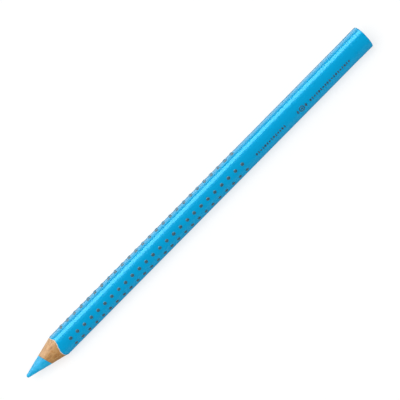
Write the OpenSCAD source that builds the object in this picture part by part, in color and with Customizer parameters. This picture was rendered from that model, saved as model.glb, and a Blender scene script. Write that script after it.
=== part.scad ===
// Thick three-sided coloured pencil with raised grip dots and a dipped rear end.
// X runs along the pencil, from the writing tip at -X to the rear end at +X, and +Z is up.
// The pencil lies on its dipped end and the dots of its bottom side. The origin is below its middle.
// All sizes are in millimetres.

/* [Pencil] */
// Length from the writing tip to the rear end
pencil_l = 175; // [174:1:180]
// Distance from the axis to the middle of a side, over the lacquer
side_r = 4.5; // [4.2:0.05:4.7]
// Distance from the axis to the crest of a corner, over the lacquer
crest_r = 4.95; // [4.85:0.05:5.1]
// Radius that rounds each crest, over the lacquer
crest_round = 3; // [2.6:0.1:3.1]

/* [Core and wood] */
// Diameter of the coloured core
core_d = 5.7; // [3.8:0.1:5.8]
// Thickness of the glue sleeve round the core
core_glue_t = 0.05; // [0.03:0.01:0.1]
// Thickness of the glue seam between the two slats
slat_glue_t = 0.08; // [0.04:0.01:0.15]

/* [Sharpened end] */
// Angle between the axis and the side of the sharpened cone
cone_angle = 14; // [13:0.5:16]
// Radius of the worn writing tip
tip_round = 0.7; // [0.3:0.1:1]

/* [Coats] */
// Thickness of the pale undercoat
undercoat_t = 0.08; // [0.05:0.01:0.12]
// Thickness of the coloured lacquer
lacquer_t = 0.12; // [0.08:0.01:0.2]
// Thickness of the dipped coat on the sides
dip_t = 0.05; // [0.03:0.01:0.08]
// Length of the sides that the dipped coat covers
dip_l = 6.5; // [3:0.5:7]
// Thickness of the dipped coat on the end face
dip_end_t = 0.6; // [0.4:0.1:1]
// Radius that rounds the rim of the dipped end
dip_rim = 0.4; // [0.2:0.1:0.4]

/* [Grip dots] */
// Diameter of a dot where it meets the lacquer
dot_d = 1.4; // [1:0.1:1.5]
// Height of a dot over the lacquer
dot_h = 0.23; // [0.2:0.01:0.35]
// Distance between neighbouring dots in a row
dot_pitch = 3.54; // [3.2:0.02:3.56]
// Number of dots in a row
dot_count = 26; // [10:1:26]
// Distance from the writing tip to the first dots
dot_start = 21.9; // [20:0.1:22.5]
// Distance from the middle of a side to each of its two rows
dot_row = 1.7; // [1.5:0.05:1.9]

/* [Foil decoration] */
// Thickness of the foil
foil_t = 0.03; // [0.02:0.01:0.05]
// Height of the small foil marks
mark_h = 1.4; // [0.8:0.1:1.5]
// Distance between neighbouring small marks
mark_pitch = 1.1; // [1:0.05:1.15]
// Number of small marks between the grip and the rosette
front_marks = 14; // [5:1:14]
// Number of small marks between the rosette and the rear end
rear_marks = 19; // [5:1:19]
// Diameter of the foil rosette
rosette_d = 2.4; // [1.6:0.1:2.4]
// Distance from the rear end to the middle of the rosette
rosette_back = 35; // [35:0.5:36]
// Distance from the middle of the side to the line of marks
foil_row = 0.3; // [0:0.1:1]

/* [Hidden] */
$fn = 96;

// Directions of the three sides, as angles in the YZ plane counted from +Y
front_side = 150;
back_side = 30;
bottom_side = 270;

// The section is three crest arcs joined by three flatter side arcs that touch them.
crest_off = crest_r - crest_round;
side_gap = side_r - crest_round;
side_off = (pow(crest_off, 2) - pow(side_gap, 2)) / (2 * side_gap - crest_off);
side_round = side_r + side_off;
side_half = atan2(crest_off * sin(60), crest_off * cos(60) + side_off);
crest_half = 60 - side_half;
crest_steps = 8;
side_steps = 10;

coat_t = undercoat_t + lacquer_t;
core_r = core_d / 2;
bore_r = core_r + core_glue_t;
tip_x = -pencil_l / 2;
end_x = pencil_l / 2;
stock_l = pencil_l - dip_end_t;
reach_r = crest_r + 1;
rim_steps = 5;

// A cone that reached its point would start this far ahead of the rounded tip.
apex_ahead = tip_round / sin(cone_angle) - tip_round;
cone_l = reach_r / tan(cone_angle) - apex_ahead;
tip_steps = 8;

// A dot's profile follows a quarter of an ellipse in straight steps, so that it is a stack of cones.
dot_steps = 3;
dot_profile = [
  for (i = [0:dot_steps])
    let (a = 90 * i / dot_steps)
      [dot_d / 2 * cos(a), dot_h * sin(a)]
];
dot_root = 0.15;
row_angle = asin(dot_row / side_round);
dot_tops = [for (p = dot_profile) p.x * sin(row_angle) + p.y * cos(row_angle)];
dot_reach = side_round * cos(row_angle) - side_off + max(dot_tops);
axis_z = max(dot_reach, side_r + dip_t);

// Distances from the middle of the rosette to the nearest small mark on each side of it
front_gap = 9;
rear_gap = 4.4;

// Outline of the rounded triangle, with every side moved in by inset
function crest_arc(dir, inset) = [
  for (i = [0:crest_steps])
    let (a = dir + crest_half * (2 * i / crest_steps - 1))
      crest_off * [cos(dir), sin(dir)] + (crest_round - inset) * [cos(a), sin(a)]
];
function side_arc(dir, inset) = [
  for (i = [1:side_steps - 1])
    let (a = dir + side_half * (2 * i / side_steps - 1))
      (side_round - inset) * [cos(a), sin(a)] - side_off * [cos(dir), sin(dir)]
];
function section(inset) = [
  for (k = [0:2])
    each concat(crest_arc(90 + 120 * k, inset), side_arc(150 + 120 * k, inset))
];

// Bar of the rounded triangle between two distances from the writing tip
module bar(inset, from, to) {
  translate([tip_x + from, 0, axis_z])
    rotate([90, 0, 90])
      linear_extrude(to - from)
        polygon(section(inset));
}

// Round rod along the axis, from the writing tip to the end of the wood
module rod(r) {
  translate([tip_x, 0, axis_z])
    rotate([0, 90, 0])
      cylinder(r = r, h = stock_l);
}

// Everything that the sharpener leaves: the rounded tip, the cone and the bar behind it
module sharpened() {
  tip_arc = [
    for (i = [0:tip_steps])
      let (a = -90 + (90 - cone_angle) * i / tip_steps)
        tip_round * [cos(a), 1 + sin(a)]
  ];
  outer = [[reach_r, cone_l], [reach_r, pencil_l + 1], [0, pencil_l + 1]];
  translate([tip_x, 0, axis_z])
    rotate([0, 90, 0])
      rotate_extrude()
        polygon(concat(tip_arc, outer));
}

// Coat between two insets of the section, cut by the sharpener
module coat(outer_inset, inner_inset) {
  intersection() {
    sharpened();
    difference() {
      bar(outer_inset, 0, stock_l);
      bar(inner_inset, -1, stock_l + 1);
    }
  }
}

// Block that spans the pencil, between two heights over the axis and two sides in Y
module block(y, z) {
  translate([tip_x - 1, y[0], axis_z + z[0]])
    cube([pencil_l + 2, y[1] - y[0], z[1] - z[0]]);
}

// Wood or glue outside the core's bore, limited to a block and cut by the sharpener
module around_bore(y, z) {
  intersection() {
    sharpened();
    difference() {
      intersection() {
        bar(coat_t, 0, stock_l);
        block(y, z);
      }
      rod(bore_r);
    }
  }
}

module pigment_core() {
  color("#2FB0E8") intersection() {
    sharpened();
    rod(core_r);
  }
}

module core_glue() {
  color("#E6D9B8") intersection() {
    sharpened();
    difference() {
      rod(bore_r);
      rod(core_r);
    }
  }
}

module upper_slat() {
  color("#D2A577") around_bore([-reach_r, reach_r], [slat_glue_t / 2, reach_r]);
}

module lower_slat() {
  color("#CB9C6D") around_bore([-reach_r, reach_r], [-reach_r, -slat_glue_t / 2]);
}

module glue_seam(y) {
  color("#B98A55") around_bore(y, [-slat_glue_t / 2, slat_glue_t / 2]);
}

module undercoat() {
  color("#EDE6D6") coat(lacquer_t, coat_t);
}

module colour_lacquer() {
  color("#1FA6DC") coat(0, lacquer_t);
}

// The dipped coat's rim is rounded in steps: the further a step reaches, the thinner it is.
module end_dip() {
  color("#1B9FD8") difference() {
    union() {
      for (i = [0:rim_steps]) {
        a = 90 * i / rim_steps;
        bar(dip_rim * (1 - cos(a)) - dip_t, pencil_l - dip_l, pencil_l - dip_rim * (1 - sin(a)));
      }
    }
    bar(0, 0, stock_l);
  }
}

// One row of dots, turned from the middle of its side by an angle and rooted in the lacquer
module dot_row(side, turn) {
  color("#2E5C6E") difference() {
    for (i = [0:dot_count - 1])
      translate([
        tip_x + dot_start + i * dot_pitch,
        side_round * cos(side + turn) - side_off * cos(side),
        axis_z + side_round * sin(side + turn) - side_off * sin(side)
      ])
        rotate([side + turn - 90, 0, 0])
          rotate_extrude()
            polygon(concat([[0, -dot_root], [dot_d / 2, -dot_root]], dot_profile));
    bar(0, 0, stock_l);
  }
}

// Foil on the front side: its children are drawn flat, and lie on the lacquer at an X position
module on_front(x) {
  color("#36627E") intersection() {
    translate([x, 0, axis_z])
      rotate([front_side - 90, 0, 0])
        translate([0, foil_row, crest_off])
          linear_extrude(reach_r)
            children();
    difference() {
      bar(-foil_t, 0, stock_l);
      bar(0, -1, stock_l + 1);
    }
  }
}

// A small mark: a lozenge, a bar or a round dot in turn
module small_mark(kind) {
  if (kind == 0)
    polygon([for (a = [0:90:270]) mark_h * [0.38 * cos(a), 0.5 * sin(a)]]);
  if (kind == 1)
    square([mark_h * 0.32, mark_h * 0.85], center = true);
  if (kind == 2)
    circle(d = mark_h * 0.55);
}

// A line of small marks that starts at an X position and repeats lozenge, bar, dot, bar
module mark_line(x, count) {
  kinds = [0, 1, 2, 1];
  on_front(x)
    for (i = [0:count - 1])
      translate([i * mark_pitch, 0])
        small_mark(kinds[i % len(kinds)]);
}

module foil_marks_front() {
  mark_line(end_x - rosette_back - front_gap - (front_marks - 1) * mark_pitch, front_marks);
}

module foil_marks_rear() {
  mark_line(end_x - rosette_back + rear_gap, rear_marks);
}

// A ring round a centre dot, with a pair of lozenges on each side
module foil_rosette() {
  on_front(end_x - rosette_back) {
    difference() {
      circle(d = rosette_d);
      circle(d = rosette_d * 0.66);
    }
    circle(d = rosette_d * 0.36);
    for (side = [-1, 1])
      translate([side * rosette_d * 0.85, 0])
        polygon([for (a = [0:90:270]) rosette_d * [0.2 * cos(a), 0.4 * sin(a)]]);
  }
}

pigment_core();
core_glue();
upper_slat();
lower_slat();
glue_seam([-reach_r, 0]);  // glue_seam_front
glue_seam([0, reach_r]);  // glue_seam_back
undercoat();
colour_lacquer();
end_dip();
dot_row(front_side, -row_angle);  // dots_front_upper
dot_row(front_side, row_angle);  // dots_front_lower
dot_row(back_side, row_angle);  // dots_back_upper
dot_row(back_side, -row_angle);  // dots_back_lower
dot_row(bottom_side, -row_angle);  // dots_bottom_front
dot_row(bottom_side, row_angle);  // dots_bottom_back
foil_marks_front();
foil_rosette();
foil_marks_rear();
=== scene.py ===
import math
import random

import bmesh
import bpy
from mathutils import Matrix, Vector, noise


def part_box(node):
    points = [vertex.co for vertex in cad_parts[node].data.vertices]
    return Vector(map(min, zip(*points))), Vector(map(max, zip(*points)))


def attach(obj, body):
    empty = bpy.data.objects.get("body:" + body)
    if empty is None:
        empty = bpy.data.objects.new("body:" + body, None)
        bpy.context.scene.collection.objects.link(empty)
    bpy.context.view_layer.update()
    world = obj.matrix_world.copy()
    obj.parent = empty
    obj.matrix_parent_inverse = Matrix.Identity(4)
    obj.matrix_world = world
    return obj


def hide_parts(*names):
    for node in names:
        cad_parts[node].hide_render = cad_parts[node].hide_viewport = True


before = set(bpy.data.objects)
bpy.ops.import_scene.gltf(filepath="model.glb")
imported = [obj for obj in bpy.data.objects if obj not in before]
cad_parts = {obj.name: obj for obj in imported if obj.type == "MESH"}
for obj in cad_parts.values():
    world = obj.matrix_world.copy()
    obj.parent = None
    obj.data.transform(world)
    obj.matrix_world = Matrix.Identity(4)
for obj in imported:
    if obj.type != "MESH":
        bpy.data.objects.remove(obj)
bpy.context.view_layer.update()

# A thick three-sided coloured pencil. X runs from the writing tip (-X) to the rear end (+X), +Z is up.
# Lengths are in metres. Angles round the pencil are counted from +Y towards +Z, in radians.

MM = 0.001
TAU = 2 * math.pi

# ---------------------------------------------------------------- sizes, worked out from the frame

core_low, core_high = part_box("pigment_core")
glue_low, glue_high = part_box("core_glue")
seam_low, seam_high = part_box("glue_seam_front")
lacquer_low, lacquer_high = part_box("colour_lacquer")
dip_low, dip_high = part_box("end_dip")
dots_low, dots_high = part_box("dots_front_upper")
rosette_low, rosette_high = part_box("foil_rosette")
wood_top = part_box("upper_slat")[1].z
undercoat_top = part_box("undercoat")[1].z

AXIS_Z = (core_low.z + core_high.z) / 2
CORE_R = (core_high.z - core_low.z) / 2
BORE_R = (glue_high.z - glue_low.z) / 2
TIP_X = core_low.x
REAR_X = dip_high.x
WOOD_END = core_high.x
DIP_START = dip_low.x
CREST_R = lacquer_high.z - AXIS_Z
SIDE_R = AXIS_Z - lacquer_low.z
LACQUER_T = lacquer_high.z - undercoat_top
COAT_T = lacquer_high.z - wood_top
DIP_T = dip_high.z - lacquer_high.z
SEAM_HALF = (seam_high.z - seam_low.z) / 2

# ---------------------------------------------------------------- section and sharpened cone

# The core sits a little off the middle of the wood, and the sharpener cut a little askew.
CORE_ASIDE = Vector((0, -0.23 * MM, -0.07 * MM))
LEAN = Vector((0, -0.004, -0.007))

CONE = math.radians(14)
TIP_ROUND = 0.7 * MM
APEX_AHEAD = TIP_ROUND / math.sin(CONE) - TIP_ROUND
FLARE = math.radians(18)
FLARE_R = SIDE_R - 0.1 * MM

# The section is three crest arcs joined by three flatter side arcs that touch them.
CREST_ROUND = 3 * MM
CREST_OFF = CREST_R - CREST_ROUND
SIDE_GAP = SIDE_R - CREST_ROUND
SIDE_OFF = (CREST_OFF ** 2 - SIDE_GAP ** 2) / (2 * SIDE_GAP - CREST_OFF)
SIDE_ROUND = SIDE_R + SIDE_OFF
FRONT, BACK, BOTTOM = math.radians(150), math.radians(30), math.radians(270)
THIRD = TAU / 3

BARREL_STEPS = 168
BARREL_ANGLES = [TAU * i / BARREL_STEPS for i in range(BARREL_STEPS)]
BORE_STEPS = 96
BORE_ANGLES = [TAU * i / BORE_STEPS for i in range(BORE_STEPS)]


def radius_at(angle, inset=0.0):
    """Distance from the axis to the section in a direction, with every side moved in by inset."""
    turn = (angle - math.pi / 2) % THIRD
    turn = min(turn, THIRD - turn)
    crest, side = CREST_ROUND - inset, SIDE_ROUND - inset
    half = THIRD / 2
    touch = math.atan2(CREST_OFF * math.sin(half), CREST_OFF * math.cos(half) + SIDE_OFF)
    from_side = math.atan2(side * math.sin(touch), side * math.cos(touch) - SIDE_OFF)
    if half - turn > from_side:
        return CREST_OFF * math.cos(turn) + math.sqrt(crest ** 2 - (CREST_OFF * math.sin(turn)) ** 2)
    near = half - turn
    return math.sqrt(side ** 2 - (SIDE_OFF * math.sin(near)) ** 2) - SIDE_OFF * math.cos(near)


def cone_x(radius):
    """Where along X the sharpened cone has a radius. It steepens where it meets the crests."""
    ahead = min(radius, FLARE_R) / math.tan(CONE) + max(0.0, radius - FLARE_R) / math.tan(FLARE)
    return TIP_X + ahead - APEX_AHEAD


def cone_radius(x):
    """Radius of the sharpened cone, or of the rounded tip, at a place along X."""
    ahead = x - TIP_X
    if ahead < TIP_ROUND * (1 - math.sin(CONE)):
        return math.sqrt(max(0.0, TIP_ROUND ** 2 - (TIP_ROUND - ahead) ** 2))
    beyond = ahead + APEX_AHEAD - FLARE_R / math.tan(CONE)
    return FLARE_R + beyond * math.tan(CONE if beyond < 0 else FLARE)


def off_centre(radius, angle, aside=CORE_ASIDE):
    """Distance from the axis, in a direction, to a circle whose middle lies aside."""
    along = aside.y * math.cos(angle) + aside.z * math.sin(angle)
    return along + math.sqrt(max(0.0, radius ** 2 - aside.length_squared + along ** 2))


def cut_radius(x, angle):
    """Distance from the axis to the leaning cone, at a place along X and in a direction."""
    return off_centre(cone_radius(x), angle, LEAN * (x - TIP_X))


def cut_x(radius, angle):
    """Where along X the leaning cone reaches a distance from the axis, found by closing in on it."""
    edge = Vector((0, radius * math.cos(angle), radius * math.sin(angle)))
    x = cone_x(radius)
    for _ in range(5):
        x = cone_x((edge - LEAN * (x - TIP_X)).length)
    return x


def around(x, radius, angle):
    """Point at a place along X, a radius and an angle round the axis."""
    return Vector((x, radius * math.cos(angle), AXIS_Z + radius * math.sin(angle)))


def wobble(x, y, z, seed):
    """Smooth noise from -1 to 1. Each seed reads another part of it."""
    return noise.noise(Vector((x, y, z + 17.3 * seed)))


def skin_wobble(along, across, angle, seed):
    """Smooth noise over the pencil's skin. A larger across gives more waves round the pencil."""
    return wobble(along, across * math.cos(angle), across * math.sin(angle), seed)


def span(low, high, count):
    """count + 1 values from low to high."""
    return [low + (high - low) * i / count for i in range(count + 1)]


# ---------------------------------------------------------------- materials

class Nodes:
    """A material's node tree, with short ways to add what the materials share."""

    def __init__(self, name):
        self.material = bpy.data.materials.new(name)
        self.material.use_nodes = True
        self.tree = self.material.node_tree
        self.shader = self.tree.nodes["Principled BSDF"]
        self.place = self.add("ShaderNodeTexCoord").outputs["Object"]

    def add(self, kind, **values):
        node = self.tree.nodes.new(kind)
        for key, value in values.items():
            setattr(node, key, value)
        return node

    def feed(self, socket, value):
        """Links a socket to an output, or sets it to a number or a colour."""
        if hasattr(value, "is_linked"):
            self.tree.links.new(value, socket)
        else:
            socket.default_value = (*value, 1.0) if isinstance(value, tuple) else value

    def scaled(self, scale):
        node = self.add("ShaderNodeMapping")
        node.inputs["Scale"].default_value = scale
        self.feed(node.inputs["Vector"], self.place)
        return node.outputs["Vector"]

    def axis(self, name):
        """The place along X, Y or Z, in metres."""
        node = self.add("ShaderNodeSeparateXYZ")
        self.feed(node.inputs["Vector"], self.place)
        return node.outputs[name]

    def noise(self, scale, detail, roughness=0.55, distortion=0.0):
        """Noise whose scale is in features a metre along X, Y and Z, or a single number for all three."""
        node = self.add("ShaderNodeTexNoise")
        settings = {"Scale": 1.0, "Detail": detail, "Roughness": roughness, "Distortion": distortion}
        for key, value in settings.items():
            node.inputs[key].default_value = value
        self.feed(node.inputs["Vector"], self.scaled(scale if isinstance(scale, tuple) else (scale,) * 3))
        return node.outputs["Fac"]

    def ramp(self, fac, stops):
        node = self.add("ShaderNodeValToRGB")
        ramp = node.color_ramp
        while len(ramp.elements) < len(stops):
            ramp.elements.new(1.0)
        for element, (position, colour) in zip(ramp.elements, stops):
            element.position = position
            element.color = (*colour, 1.0)
        self.feed(node.inputs["Fac"], fac)
        return node.outputs["Color"]

    def mix(self, fac, first, second, blend="MIX"):
        """Colours mixed by fac. A colour mix has its factor in input 0 and its colours in 6 and 7."""
        node = self.add("ShaderNodeMix", data_type="RGBA", blend_type=blend)
        for index, value in ((0, fac), (6, first), (7, second)):
            self.feed(node.inputs[index], value)
        return node.outputs[2]

    def range(self, fac, from_low, from_high, low=0.0, high=1.0):
        node = self.add("ShaderNodeMapRange")
        settings = {"From Min": from_low, "From Max": from_high, "To Min": low, "To Max": high}
        for key, value in settings.items():
            node.inputs[key].default_value = value
        self.feed(node.inputs["Value"], fac)
        return node.outputs["Result"]

    def math(self, operation, first, second):
        node = self.add("ShaderNodeMath", operation=operation)
        self.feed(node.inputs[0], first)
        self.feed(node.inputs[1], second)
        return node.outputs[0]

    def blend(self, first, second, share):
        """A share of the first value and the rest of the second."""
        first_part = self.math("MULTIPLY", first, share)
        return self.math("ADD", first_part, self.math("MULTIPLY", second, 1 - share))

    def bump(self, height, depth, strength):
        """Bump whose height of 1 stands for depth metres."""
        node = self.add("ShaderNodeBump")
        node.inputs["Strength"].default_value = strength
        node.inputs["Distance"].default_value = depth
        self.feed(node.inputs["Height"], height)
        return node.outputs["Normal"]

    def finish(self, **values):
        """Feeds the shader's sockets and gives the finished material."""
        for key, value in values.items():
            self.feed(self.shader.inputs[key.replace("_", " ")], value)
        return self.material


BLUE = (0.0, 0.40, 0.77)
BLUE_DEEP = (0.0, 0.38, 0.74)
BLUE_LIGHT = (0.001, 0.43, 0.80)
GLOSS_TINT = (0.32, 0.93, 1.0)
PRIMER_DULL, PRIMER_PALE = (0.70, 0.62, 0.48), (0.88, 0.84, 0.75)
UPPER_CEDAR = {
    "dark": (0.38, 0.20, 0.09),
    "middle": (0.67, 0.39, 0.19),
    "light": (0.80, 0.52, 0.28),
    "red": (0.56, 0.25, 0.08),
}
# Painted shade: the lower slat's colours are a slightly darker copy of the upper slat's, for the shade on
# the pencil's lower half.
SHADED_LOWER_CEDAR = {
    "dark": (0.35, 0.18, 0.08),
    "middle": (0.62, 0.36, 0.18),
    "light": (0.78, 0.50, 0.28),
    "red": (0.52, 0.23, 0.08),
}
# Painted shade: the colour the cut wood is multiplied by towards its front (-Y) side.
CEDAR_PAINTED_SHADE = (0.76, 0.68, 0.50)
WAX_DEEP, WAX_MIDDLE, WAX_PALE = (0.010, 0.40, 0.72), (0.020, 0.48, 0.84), (0.07, 0.56, 0.90)
WAX_GRIT = (0.006, 0.27, 0.50)
RUBBER_DARK, RUBBER_LIGHT = (0.030, 0.098, 0.138), (0.050, 0.138, 0.188)
FOIL_DARK, FOIL_LIGHT = (0.036, 0.082, 0.125), (0.070, 0.130, 0.190)
GLUE_DARK, GLUE_LIGHT = (0.28, 0.16, 0.07), (0.46, 0.30, 0.15)
FLOOR_DARK, FLOOR_LIGHT = (0.28, 0.28, 0.28), (0.29, 0.29, 0.29)
FLOOR_GLOW, FAR_GLOW = 0.72, 0.88
FADE_START, FADE_END = 0.4, 3.0


def gloss_lacquer(name):
    """Pencil lacquer: long faint streaks from the coating die, a little unevenness, a clear gloss."""
    lacquer = Nodes(name)
    streaks = lacquer.noise((45, 2600, 2600), detail=4)
    clouds = lacquer.noise((160, 260, 260), detail=2)
    fine = lacquer.noise(5200, detail=2)
    tone = lacquer.mix(lacquer.range(clouds, 0.3, 0.7), BLUE, BLUE_DEEP)
    tone = lacquer.mix(lacquer.range(streaks, 0.35, 0.75, 0.0, 0.35), tone, BLUE_LIGHT)
    return lacquer.finish(
        Base_Color=tone,
        Roughness=lacquer.range(streaks, 0.3, 0.7, 0.17, 0.26),
        Normal=lacquer.bump(lacquer.blend(streaks, fine, 0.7), 0.012 * MM, 0.5),
        Specular_IOR_Level=0.5,
        Specular_Tint=GLOSS_TINT,
    )


def chalky_primer():
    """Chalky off-white primer."""
    primer = Nodes("chalky_primer")
    mottle = primer.noise(2400, detail=4)
    return primer.finish(
        Base_Color=primer.ramp(mottle, [(0.3, PRIMER_DULL), (0.7, PRIMER_PALE)]),
        Roughness=primer.range(mottle, 0.3, 0.7, 0.6, 0.8),
        Normal=primer.bump(mottle, 0.02 * MM, 0.5),
    )


def cedar(name, shift, dark, middle, light, red):
    """Sharpened wood: grain along X, painted shade darkening the front, dark pores and the blade's fine
    rings.
    """
    wood = Nodes(name)
    grain = wood.noise((140 + shift, 1500, 1500), detail=5, roughness=0.6, distortion=0.4)
    pores = wood.noise((420, 3800, 3800 + shift), detail=3, roughness=0.7)
    rings = wood.noise((2600, 240, 240), detail=2)
    patches = wood.noise((500, 520, 520), detail=2)
    flecks = wood.noise((900, 1250, 1250), detail=3)
    tone = wood.ramp(grain, [(0.28, dark), (0.5, middle), (0.72, light)])
    tone = wood.mix(wood.range(pores, 0.56, 0.72, 0.0, 0.75), tone, dark)
    tone = wood.mix(wood.range(patches, 0.4, 0.7, 0.0, 0.35), tone, light)
    tone = wood.mix(wood.range(flecks, 0.52, 0.66, 0.0, 0.6), tone, red)
    # Painted shade: the cut wood is darkened towards the front (-Y), the side that lies lower and away from
    # the light.
    painted_shade_band = wood.math("ADD", wood.axis("Y"), wood.math("MULTIPLY", patches, 1.2 * MM))
    tone = wood.mix(wood.range(painted_shade_band, -0.7 * MM, 0.8 * MM, 1.0, 0.0), tone, CEDAR_PAINTED_SHADE, "MULTIPLY")
    height = wood.math("SUBTRACT", wood.blend(grain, rings, 0.5), wood.range(pores, 0.56, 0.72, 0.0, 0.4))
    return wood.finish(
        Base_Color=tone,
        Roughness=wood.range(grain, 0.3, 0.7, 0.62, 0.82),
        Normal=wood.bump(height, 0.09 * MM, 0.8),
        Specular_IOR_Level=0.25,
    )


def waxy_core():
    """Wax and pigment, scored round by the sharpener, with a faint bloom."""
    wax = Nodes("waxy_core")
    bloom = wax.noise((700, 900, 900), detail=4)
    scores = wax.noise((4200, 300, 300), detail=3)
    grit = wax.noise(6500, detail=2)
    tone = wax.ramp(bloom, [(0.3, WAX_DEEP), (0.55, WAX_MIDDLE), (0.8, WAX_PALE)])
    tone = wax.mix(wax.range(grit, 0.62, 0.8, 0.0, 0.4), tone, WAX_GRIT)
    return wax.finish(
        Base_Color=tone,
        Roughness=wax.range(bloom, 0.3, 0.7, 0.46, 0.62),
        Normal=wax.bump(wax.blend(scores, grit, 0.7), 0.05 * MM, 0.7),
        Specular_IOR_Level=0.22,
        Subsurface_Weight=0.08,
        Subsurface_Scale=0.4 * MM,
    )


def grip_rubber():
    """Soft matt dot lacquer."""
    rubber = Nodes("grip_rubber")
    skin = rubber.noise(3800, detail=3)
    batch = rubber.noise(260, detail=1)
    return rubber.finish(
        Base_Color=rubber.mix(rubber.range(batch, 0.3, 0.7), RUBBER_DARK, RUBBER_LIGHT),
        Roughness=rubber.range(skin, 0.3, 0.7, 0.45, 0.65),
        Normal=rubber.bump(skin, 0.03 * MM, 0.5),
        Sheen_Weight=0.15,
    )


def worn_foil():
    """Stamped foil that has let the lacquer through in specks."""
    foil = Nodes("worn_foil")
    wear = foil.noise(3200, detail=4, roughness=0.7)
    tint = foil.noise(900, detail=2)
    whole = foil.mix(foil.range(tint, 0.3, 0.7), FOIL_DARK, FOIL_LIGHT)
    shown = foil.range(wear, 0.33, 0.45)
    return foil.finish(
        Base_Color=foil.mix(shown, BLUE_DEEP, whole),
        Metallic=foil.math("MULTIPLY", shown, 0.2),
        Specular_IOR_Level=0.25,
        Roughness=foil.range(tint, 0.3, 0.7, 0.32, 0.5),
        Normal=foil.bump(wear, 0.012 * MM, 0.5),
    )


def amber_glue():
    """Dried wood glue."""
    glue = Nodes("amber_glue")
    mottle = glue.noise(1900, detail=3)
    return glue.finish(
        Base_Color=glue.ramp(mottle, [(0.3, GLUE_DARK), (0.7, GLUE_LIGHT)]),
        Roughness=glue.range(mottle, 0.3, 0.7, 0.35, 0.6),
        Normal=glue.bump(mottle, 0.02 * MM, 0.5),
    )


def paper_floor():
    """Plain pale floor with a hardly visible tooth. It glows, a little more far away, where lamps fade."""
    paper = Nodes("pale_floor")
    tooth = paper.noise(900, detail=2)
    away = paper.add("ShaderNodeVectorMath", operation="LENGTH")
    paper.feed(away.inputs[0], paper.place)
    return paper.finish(
        Base_Color=paper.ramp(tooth, [(0.3, FLOOR_DARK), (0.7, FLOOR_LIGHT)]),
        Roughness=0.9,
        Specular_IOR_Level=0.1,
        Emission_Color=(1.0, 1.0, 1.0),
        Emission_Strength=paper.range(away.outputs["Value"], FADE_START, FADE_END, FLOOR_GLOW, FAR_GLOW),
    )


MATERIALS = {
    "lacquer": gloss_lacquer("blue_lacquer"),
    "dip": gloss_lacquer("dipped_blue_lacquer"),
    "undercoat": chalky_primer(),
    "cedar_upper": cedar("cedar_upper", shift=0, **UPPER_CEDAR),
    "cedar_lower": cedar("cedar_lower", shift=60, **SHADED_LOWER_CEDAR),
    "core": waxy_core(),
    "dots": grip_rubber(),
    "foil": worn_foil(),
    "glue": amber_glue(),
}


# ---------------------------------------------------------------- meshes

def ring_faces(first, second, count):
    """Quads between two closed rings of points, given their first indices."""
    return [
        (first + i, first + (i + 1) % count, second + (i + 1) % count, second + i)
        for i in range(count)
    ]


def tube(rings, closed):
    """Points and faces of rings joined in order; closed joins the last ring to the first."""
    count = len(rings[0])
    points = [point for ring in rings for point in ring]
    faces = []
    for k in range(len(rings) if closed else len(rings) - 1):
        faces += ring_faces(k * count, (k + 1) % len(rings) * count, count)
    return points, faces


def capped(rings, start, end):
    """Rings joined in order, and closed at both ends by a fan to a point."""
    points, faces = tube(rings, closed=False)
    count = len(rings[0])
    last = len(points) - count
    head, tail = len(points), len(points) + 1
    points += [start, end]
    faces += [(head, (i + 1) % count, i) for i in range(count)]
    faces += [(tail, last + i, last + (i + 1) % count) for i in range(count)]
    return points, faces


def joined(parts):
    """The points and faces of several parts in one pair of lists."""
    points, faces = [], []
    for part_points, part_faces in parts:
        first = len(points)
        points += part_points
        faces += [tuple(first + i for i in face) for face in part_faces]
    return points, faces


def add_mesh(name, points, faces, material, smooth):
    mesh = bpy.data.meshes.new(name)
    mesh.from_pydata([tuple(point) for point in points], [], faces)
    mesh.validate()
    mesh.polygons.foreach_set("use_smooth", [smooth] * len(mesh.polygons))
    mesh.materials.append(material)
    mesh.update()
    piece = bpy.data.objects.new(name, mesh)
    bpy.context.scene.collection.objects.link(piece)
    return piece


def add_piece(node, slot, points, faces):
    """A visible piece in its slot's material. It rides with the pencil and stands for its CAD node."""
    piece = add_mesh(node + "_piece", points, faces, MATERIALS[slot], smooth=True)
    shell = bmesh.new()
    shell.from_mesh(piece.data)
    bmesh.ops.recalc_face_normals(shell, faces=shell.faces)
    shell.to_mesh(piece.data)
    shell.free()
    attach(piece, "root")
    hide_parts(node)


# ---------------------------------------------------------------- core

CORE_RINGS = 96
CORE_HIDDEN_RINGS = 12
CROWDING = 1.3
FIRST_RING = 0.02 * MM
UNDER_WOOD = 0.5 * MM
LEAST_R = 0.004 * MM
WEAR_END = 1.5 * MM


def core_wear(x, angle):
    """How far the core's cone strays from a true one: scored by the blade, lumpy, smoother at the tip."""
    ahead = (x - TIP_X) / MM
    score = skin_wobble(ahead * 3.1, 0.6, angle, 1)
    lump = skin_wobble(ahead * 0.55, 1.4, angle, 2)
    return (0.02 * score + 0.045 * lump - 0.02) * MM * min(1.0, (x - TIP_X) / WEAR_END)


def build_core():
    """The core, with its rings crowded at the tip of the cone and few where the wood hides it."""
    shown = cone_x(CORE_R + CORE_ASIDE.length) + UNDER_WOOD - TIP_X
    places = [TIP_X + FIRST_RING + shown * share ** CROWDING for share in span(0, 1, CORE_RINGS)]
    places += span(places[-1] + 0.4 * MM, WOOD_END, CORE_HIDDEN_RINGS)
    rings = []
    for x in places:
        ring = []
        for angle in BORE_ANGLES:
            radius = off_centre(CORE_R, angle)
            cut = cut_radius(x, angle)
            if cut < radius:
                radius = min(radius, cut + core_wear(x, angle))
            ring.append(around(x, max(radius, LEAST_R), angle))
        rings.append(ring)
    add_piece("pigment_core", "core", *capped(rings, around(TIP_X, 0, 0), around(WOOD_END, 0, 0)))


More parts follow.
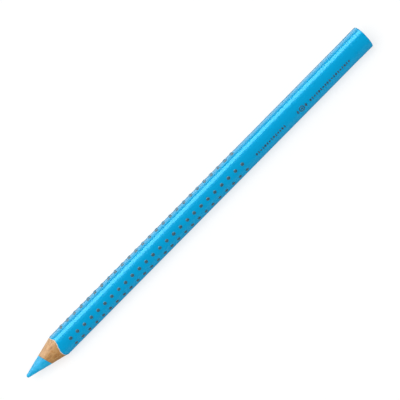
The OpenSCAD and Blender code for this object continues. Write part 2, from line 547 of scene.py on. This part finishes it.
def build_core_glue():
    """The thin sleeve of glue between the core and the wood, cut at the cone's angle."""
    rings = []
    for middle_radius, x in ((CORE_R, WOOD_END), (CORE_R, None), (BORE_R, None), (BORE_R, WOOD_END)):
        ring = []
        for angle in BORE_ANGLES:
            radius = off_centre(middle_radius, angle)
            ring.append(around(cut_x(radius, angle) if x is None else x, radius, angle))
        rings.append(ring)
    add_piece("core_glue", "glue", *tube(rings, closed=True))


# ---------------------------------------------------------------- wood

SLAT_STEPS = 84
CUT_RINGS = 110
HIDDEN_RINGS = 10
SEAM_RINGS = 50
SEAM_HIDDEN_RINGS = 12
THINNEST = 0.002 * MM
EDGE_FADE = 12


def cut_depth(x, angle):
    """How far the sharpened wood lies under a true cone: torn fibres and the blade's chatter."""
    ahead = (x - TIP_X) / MM
    fibre = skin_wobble(ahead * 0.35, 9, angle, 3)
    chatter = skin_wobble(ahead * 4.5, 0.8, angle, 4)
    return (0.035 * abs(fibre) + 0.018 * (chatter + 0.5)) * MM


def slat_ring(edges, k):
    """Ring k of a slat: out along its outside, and back along the bore."""
    outer, inner = [], []
    for angle, bore, start, cut in edges:
        if k <= CUT_RINGS:
            share = k / CUT_RINGS
            fade = min(1, share * EDGE_FADE, (1 - share) * EDGE_FADE)
            x = start + (cut - start) * share
            radius = cut_radius(x, angle) - cut_depth(x, angle) * fade
        else:
            x = cut + (WOOD_END - cut) * (k - CUT_RINGS) / HIDDEN_RINGS
            radius = radius_at(angle, COAT_T)
        outer.append(around(x, max(radius, bore + THINNEST), angle))
        inner.append(around(x, bore, angle))
    return outer + inner[::-1]


def build_slat(node, slot, side):
    """Half of the wood. Its rings follow the cone from the core's edge to the barrel's, then the barrel."""
    edges = []
    for angle in span(0, side * math.pi, SLAT_STEPS):
        bore = off_centre(BORE_R, angle)
        edges.append((angle, bore, cut_x(bore, angle), cut_x(radius_at(angle, COAT_T), angle)))
    rings = [slat_ring(edges, k) for k in range(CUT_RINGS + HIDDEN_RINGS + 1)]
    points, faces = tube(rings, closed=False)
    farther = max if side > 0 else min
    for point in points:
        point.z = farther(point.z, AXIS_Z + side * SEAM_HALF)
    count = len(rings[0])
    last = len(points) - count
    for i in range(SLAT_STEPS):
        faces.append((i, count - 1 - i, count - 2 - i, i + 1))
        faces.append((last + i, last + i + 1, last + count - 2 - i, last + count - 1 - i))
    add_piece(node, slot, points, faces)


def build_seam(node, angle):
    """The glue between the two slats on one side of the core, cut back with the wood that it joins."""
    inner, outer = off_centre(BORE_R, angle), radius_at(angle, COAT_T)
    start, cut = cut_x(inner, angle), cut_x(outer, angle)
    rings = []
    for x in span(start, cut, SEAM_RINGS) + span(cut, WOOD_END, SEAM_HIDDEN_RINGS)[1:]:
        reach = max(inner + THINNEST, min(outer, cut_radius(x, angle) - cut_depth(x, angle)))
        corners = [(inner, -1), (reach, -1), (reach, 1), (inner, 1)]
        rings.append([Vector((x, math.cos(angle) * y, AXIS_Z + side * SEAM_HALF)) for y, side in corners])
    points, faces = tube(rings, closed=False)
    last = len(points) - 4
    faces += [(0, 1, 2, 3), (last, last + 1, last + 2, last + 3)]
    add_piece(node, "glue", points, faces)


# ---------------------------------------------------------------- coats

COAT_RINGS = 220
TEAR = 0.16 * MM
FRAY = 0.05 * MM
CHIP = 0.33 * MM
LIP = 0.05 * MM
LIP_DROP = 1.4 * LIP * math.tan(CONE)
# Rings inside a coat, as shares of the way from its torn edge to the rear end.
INSIDE_SHARES = (1, 0.7, 0.4, 0.15, 0.03, 0)


def ripple(x, angle):
    """Slight unevenness of the coated barrel."""
    along = x / MM
    slow = skin_wobble(along * 0.07, 1.1, angle, 5)
    quick = skin_wobble(along * 0.28, 2.6, angle, 6)
    return (0.02 * slow + 0.006 * quick) * MM


def ragged(angle, depth, seed):
    """How far the torn edge of a coat strays along X."""
    coarse = wobble(math.cos(angle) * 4, math.sin(angle) * 4, 0, seed)
    fine = wobble(math.cos(angle) * 14, math.sin(angle) * 14, 3, seed)
    return depth * (0.65 * coarse + 0.35 * fine)


def chipped(angle):
    """How far a coat has chipped back along X: not at the crests, most in the middle of the sides."""
    return CHIP * (CREST_R - radius_at(angle)) / (CREST_R - SIDE_R)


def coat_ring(places, inset, rippled):
    """A ring of points at an inset from the barrel's surface, with one place along X for each angle."""
    return [
        around(x, radius_at(angle, inset) + (ripple(x, angle) if rippled else 0), angle)
        for x, angle in zip(places, BARREL_ANGLES)
    ]


def build_coat(node, slot, outer, inner, rippled):
    """A thin shell between two insets. The sharpener cuts its front end at the cone's angle."""
    inner_x, outer_x = [], []
    for angle in BARREL_ANGLES:
        stray = ragged(angle, TEAR, 7) + ragged(angle, FRAY, 8 + inner / MM) + chipped(angle)
        inner_x.append(cut_x(radius_at(angle, inner), angle) + stray)
        outer_x.append(cut_x(radius_at(angle, outer), angle) + stray)
    middle_x = [(below + above) / 2 for below, above in zip(inner_x, outer_x)]
    skin_x = [x + LIP for x in outer_x]

    def towards_rear(starts, share):
        return [x + (WOOD_END - x) * share for x in starts]

    rings = [coat_ring(towards_rear(inner_x, share), inner, rippled) for share in INSIDE_SHARES]
    rings.append(coat_ring(middle_x, (inner + outer) / 2, rippled))
    rings.append(coat_ring([x - LIP for x in outer_x], outer + LIP_DROP, rippled))
    rings += [coat_ring(towards_rear(skin_x, share), outer, rippled) for share in span(0, 1, COAT_RINGS)]
    add_piece(node, slot, *tube(rings, closed=True))


DIP_RIM = 0.4 * MM
DIP_STRAY = 0.35 * MM
DIP_SINK = 0.01 * MM
DIP_LAP = 0.02 * MM
# The bead at the dip's edge: shares of the dip's length, and its height there in thicknesses of the dip.
BEAD = [(0, 0.0), (0.02, 0.7), (0.05, 1.15), (0.1, 1.25), (0.18, 1.05), (0.3, 1.0)]
BEAD_END = 2.4 * MM
SLEEVE_RINGS = 14
RIM_RINGS = 8
# Rings of the end face, as shares of its radius, closer together at the core's edge.
FACE_SHARES = (0.95, 0.88, 0.8, 0.72, 0.66, 0.6, 0.54, 0.46, 0.36, 0.24, 0.12)
DISH = 0.05 * MM
CORE_SUNK = 0.035 * MM
CORE_EDGE = 0.15 * MM
FACE_ROUGH = 0.012 * MM


def end_dish(radius, angle):
    """How deep the end face lies: a shallow dish, a fainter one over the core, and a little unevenness."""
    dish = DISH * math.cos(math.pi / 2 * min(1.0, radius / SIDE_R))
    sunk = CORE_SUNK / (1 + math.exp((radius - CORE_R) / CORE_EDGE))
    y, z = radius / MM * math.cos(angle), radius / MM * math.sin(angle)
    return dish + sunk + FACE_ROUGH * (1 + wobble(y * 0.8, z * 0.8, 0, 13))


def build_dip():
    """The dipped rear end: a sleeve with a soft bead at its edge, a rounded rim and a dished end."""
    profile = [(DIP_START + share * (REAR_X - DIP_START), DIP_T * height) for share, height in BEAD]
    profile += [(x, DIP_T) for x in span(DIP_START + BEAD_END, REAR_X - DIP_RIM, SLEEVE_RINGS)]
    for turn in span(0, math.pi / 2, RIM_RINGS)[1:]:
        profile.append((REAR_X - DIP_RIM * (1 - math.sin(turn)), DIP_T - DIP_RIM * (1 - math.cos(turn))))
    rings = []
    for x in (WOOD_END, DIP_START + DIP_LAP):
        ring = []
        for angle in BARREL_ANGLES:
            ring.append(around(x, radius_at(angle) + ripple(x, angle) - DIP_SINK, angle))
        rings.append(ring)
    for k, (x, out) in enumerate(profile):
        ring = []
        for angle in BARREL_ANGLES:
            stray = ragged(angle, DIP_STRAY, 11) * max(0.0, 1 - k / len(BEAD))
            ring.append(around(x + stray, radius_at(angle) + ripple(x, angle) + out, angle))
        rings.append(ring)
    for share in FACE_SHARES:
        ring = []
        for angle in BARREL_ANGLES:
            radius = radius_at(angle, DIP_RIM) * share
            ring.append(around(REAR_X - end_dish(radius, angle), radius, angle))
        rings.append(ring)
    centre = around(REAR_X - end_dish(0, 0), 0, 0)
    add_piece("end_dip", "dip", *capped(rings, around(WOOD_END, 0, 0), centre))


# ---------------------------------------------------------------- grip dots

DOT_R = 0.7 * MM
DOT_H = 0.23 * MM
DOT_SINK = 0.12 * MM
DOT_STEPS = 24
DOT_ROW = 1.7 * MM
DOT_COUNT = 26
DOT_START = dots_low.x + DOT_R
DOT_PITCH = (dots_high.x - dots_low.x - 2 * DOT_R) / (DOT_COUNT - 1)
DOT_STRAY = 0.05 * MM
ROW_TURN = math.asin(DOT_ROW / SIDE_ROUND)
# A dome's rings: shares of the dot's radius and of its height. The first one is sunk in the lacquer.
DOME = [(1.02, -0.35), (1.0, 0.05), (0.96, 0.32), (0.86, 0.62), (0.68, 0.84), (0.44, 0.96), (0.2, 1.0)]


def side_point(side, turn, x, out=0.0):
    """Point over a side's arc, turned from the side's middle, and the outward direction there."""
    way = Vector((0, math.cos(side + turn), math.sin(side + turn)))
    middle = Vector((0, math.cos(side), math.sin(side)))
    point = Vector((x, 0, AXIS_Z)) - SIDE_OFF * middle + (SIDE_ROUND + out) * way
    return point, way


def dot(side, turn, x, rng):
    """A soft dome, a little different from the others in size, height and place."""
    x += rng.uniform(-1, 1) * DOT_STRAY
    base, way = side_point(side, turn + rng.uniform(-1, 1) * DOT_STRAY / SIDE_ROUND, x)
    across = Vector((0, -way.z, way.y))
    size = DOT_R * rng.uniform(0.94, 1.0)
    height = DOT_H * rng.uniform(0.86, 1.0)
    stretch = rng.uniform(0.96, 1.04)
    rings = []
    for share, up in DOME:
        ring = []
        for i in range(DOT_STEPS):
            angle = TAU * i / DOT_STEPS
            along_x = size * share * math.cos(angle) * stretch
            aside = size * share * math.sin(angle)
            drop = aside ** 2 / (2 * SIDE_ROUND)
            ring.append(base + Vector((along_x, 0, 0)) + across * aside + way * (height * up - drop))
        rings.append(ring)
    return capped(rings, base - way * DOT_SINK, base + way * height)


def build_dots(node, side, turn, rng):
    row = [dot(side, turn, DOT_START + k * DOT_PITCH, rng) for k in range(DOT_COUNT)]
    add_piece(node, "dots", *joined(row))


# ---------------------------------------------------------------- foil decoration

FOIL_ROW = 0.3 * MM
FOIL_T = 0.03 * MM
FOIL_SINK = 0.02 * MM
SHOULDER = 0.6 * FOIL_T
BEVEL = 0.07
MARK_H = 1.4 * MM
MARK_PITCH = 1.1 * MM
FRONT_MARKS = 14
REAR_MARKS = 19
LOZENGE_W = 0.76 * MARK_H
BAR_W, BAR_H = 0.32 * MARK_H, 0.85 * MARK_H
SPOT_D = 0.55 * MARK_H
FRONT_MARKS_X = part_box("foil_marks_front")[0].x + LOZENGE_W / 2
REAR_MARKS_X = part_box("foil_marks_rear")[0].x + LOZENGE_W / 2
ROSETTE_D = 2.4 * MM
ROSETTE_X = (rosette_low.x + rosette_high.x) / 2
RING_HOLE = 0.66
HOLE_BEVEL = 0.06 * RING_HOLE
HUB_D = 0.36 * ROSETTE_D
LEAF_W, LEAF_H = 0.4 * ROSETTE_D, 0.8 * ROSETTE_D
LEAF_OFF = 0.85 * ROSETTE_D


def foil_plate(outline, x, hole=None):
    """A thin plate with a soft edge on the front side. Its outline is a list of places along and across."""
    middle_along = sum(along for along, across in outline) / len(outline)
    middle_across = sum(across for along, across in outline) / len(outline)

    def place(along, across, out):
        turn = -math.asin((FOIL_ROW + across) / SIDE_ROUND)
        point, way = side_point(FRONT, turn, x + along, out)
        return point + way * ripple(x + along, FRONT + turn)

    def ring(share, out):
        points = []
        for along, across in outline:
            far = middle_along + (along - middle_along) * share
            aside = middle_across + (across - middle_across) * share
            points.append(place(far, aside, out))
        return points

    rings = [ring(1.0, -FOIL_SINK), ring(1.0, SHOULDER), ring(1 - BEVEL, FOIL_T)]
    if hole is not None:
        rings += [ring(hole + HOLE_BEVEL, FOIL_T), ring(hole, SHOULDER), ring(hole, -FOIL_SINK)]
        return tube(rings, closed=True)
    below, above = (place(middle_along, middle_across, out) for out in (-FOIL_SINK, FOIL_T))
    return capped(rings + [ring(0.5, FOIL_T)], below, above)


def polygon(corners, steps=6):
    """An outline with points added along its edges, so that a plate follows the barrel's curve."""
    outline = []
    for (along, across), (next_along, next_across) in zip(corners, corners[1:] + corners[:1]):
        outline += [
            (along + (next_along - along) * i / steps, across + (next_across - across) * i / steps)
            for i in range(steps)
        ]
    return outline


def lozenge(width, height):
    return polygon([(width / 2, 0), (0, height / 2), (-width / 2, 0), (0, -height / 2)])


def bar(width, height):
    along, across = width / 2, height / 2
    return polygon([(along, -across), (along, across), (-along, across), (-along, -across)])


def disc(diameter, steps=32):
    return [
        (diameter / 2 * math.cos(TAU * i / steps), diameter / 2 * math.sin(TAU * i / steps))
        for i in range(steps)
    ]


def build_marks(node, start, count):
    """A line of small marks that repeats lozenge, bar, spot, bar."""
    marks = [lozenge(LOZENGE_W, MARK_H), bar(BAR_W, BAR_H), disc(SPOT_D), bar(BAR_W, BAR_H)]
    plates = [foil_plate(marks[i % len(marks)], start + i * MARK_PITCH) for i in range(count)]
    add_piece(node, "foil", *joined(plates))


def build_rosette():
    """A ring with a hub in it and a leaf on either side."""
    ring = foil_plate(disc(ROSETTE_D, 48), ROSETTE_X, hole=RING_HOLE)
    hub = foil_plate(disc(HUB_D), ROSETTE_X)
    leaves = [foil_plate(lozenge(LEAF_W, LEAF_H), ROSETTE_X + side * LEAF_OFF) for side in (-1, 1)]
    add_piece("foil_rosette", "foil", *joined([ring, hub, *leaves]))


# ---------------------------------------------------------------- pencil

build_core()
build_core_glue()
build_slat("upper_slat", "cedar_upper", side=1)
build_slat("lower_slat", "cedar_lower", side=-1)
build_seam("glue_seam_front", math.pi)
build_seam("glue_seam_back", 0.0)
build_coat("undercoat", "undercoat", outer=LACQUER_T, inner=COAT_T, rippled=False)
build_coat("colour_lacquer", "lacquer", outer=0.0, inner=LACQUER_T, rippled=True)
build_dip()

rng = random.Random(25)
build_dots("dots_front_upper", FRONT, -ROW_TURN, rng)
build_dots("dots_front_lower", FRONT, ROW_TURN, rng)
build_dots("dots_back_upper", BACK, ROW_TURN, rng)
build_dots("dots_back_lower", BACK, -ROW_TURN, rng)
build_dots("dots_bottom_front", BOTTOM, -ROW_TURN, rng)
build_dots("dots_bottom_back", BOTTOM, ROW_TURN, rng)

build_marks("foil_marks_front", FRONT_MARKS_X, FRONT_MARKS)
build_rosette()
build_marks("foil_marks_rear", REAR_MARKS_X, REAR_MARKS)


# ---------------------------------------------------------------- floor, light and camera

FLOOR_HALF = 6.0
LENS = 130.6
SENSOR = 36.0
ELEVATION = math.radians(69)
ROLL = math.radians(45.38)
DISTANCE = 0.53
AIM_RIGHT, AIM_UP = 1.72 * MM, 2.38 * MM
NEAREST, FARTHEST = 0.01, 50.0


def add_floor():
    """The floor neither lights the pencil's underside nor shows in its gloss, so that side stays deep."""
    corners = [(x * FLOOR_HALF, y * FLOOR_HALF, 0) for x, y in ((-1, -1), (1, -1), (1, 1), (-1, 1))]
    floor = add_mesh("floor", corners, [(0, 1, 2, 3)], paper_floor(), smooth=False)
    floor.visible_diffuse = False
    floor.visible_glossy = False
    floor.visible_shadow = False


def add_softbox(name, towards, distance, size, power, shine):
    """A soft rectangular light that faces the pencil, and either lights it or only shines in its gloss."""
    data = bpy.data.lights.new(name, "AREA")
    data.shape = "RECTANGLE"
    data.size, data.size_y = size
    data.energy = power
    lamp = bpy.data.objects.new(name, data)
    bpy.context.scene.collection.objects.link(lamp)
    way = Vector(towards).normalized()
    lamp.location = Vector((0, 0, AXIS_Z)) + way * distance
    lamp.rotation_euler = way.to_track_quat("Z", "Y").to_euler()
    lamp.visible_camera = False
    lamp.visible_diffuse = not shine
    lamp.visible_glossy = shine


def add_world(light, shine, seen):
    """Even light from all round, dimmer in the gloss, and a bright plain backdrop past the floor."""
    world = bpy.data.worlds.new("studio")
    world.use_nodes = True
    tree = world.node_tree
    background = tree.nodes["Background"]
    path = tree.nodes.new("ShaderNodeLightPath")
    unseen = tree.nodes.new("ShaderNodeMapRange")
    unseen.inputs["To Min"].default_value = light
    unseen.inputs["To Max"].default_value = shine
    tree.links.new(path.outputs["Is Glossy Ray"], unseen.inputs["Value"])
    strength = tree.nodes.new("ShaderNodeMapRange")
    strength.inputs["To Max"].default_value = seen
    tree.links.new(unseen.outputs["Result"], strength.inputs["To Min"])
    tree.links.new(path.outputs["Is Camera Ray"], strength.inputs["Value"])
    tree.links.new(strength.outputs["Result"], background.inputs["Strength"])
    background.inputs["Color"].default_value = (1.0, 1.0, 1.0, 1.0)
    bpy.context.scene.world = world


def add_camera():
    """Looks down from 21 degrees in front of the vertical, rolled so that the pencil rises to the right."""
    data = bpy.data.cameras.new("camera")
    data.lens = LENS
    data.sensor_width = SENSOR
    data.clip_start = NEAREST
    data.clip_end = FARTHEST
    camera = bpy.data.objects.new("camera", data)
    bpy.context.scene.collection.objects.link(camera)
    back = Vector((0, -math.cos(ELEVATION), math.sin(ELEVATION)))
    plain_right = Vector((1, 0, 0))
    plain_up = back.cross(plain_right)
    right = plain_right * math.cos(ROLL) - plain_up * math.sin(ROLL)
    up = plain_right * math.sin(ROLL) + plain_up * math.cos(ROLL)
    aim = Vector((0, 0, AXIS_Z)) + right * AIM_RIGHT + up * AIM_UP
    turn = Matrix((right, up, back)).transposed().to_4x4()
    camera.matrix_world = Matrix.Translation(aim + back * DISTANCE) @ turn
    bpy.context.scene.camera = camera


add_floor()
add_softbox("overhead", (-0.3, 0.1, 0.95), distance=2.5, size=(2.2, 2.0), power=50, shine=False)
add_softbox("front_fill", (0, -0.8, -0.6), distance=2.5, size=(2.0, 1.6), power=24, shine=False)
add_softbox("rear_fill", (1, 0, 0), distance=2.5, size=(1.6, 1.6), power=18, shine=False)
add_softbox("gloss", (0, 0.6, 0.8), distance=3.0, size=(7.0, 2.8), power=480, shine=True)
add_softbox("back_gloss", (0, 0.97, -0.24), distance=3.0, size=(7.0, 2.4), power=105, shine=True)
add_world(light=0.37, shine=0.14, seen=1.0)
add_camera()
bpy.context.scene.view_settings.view_transform = "Standard"
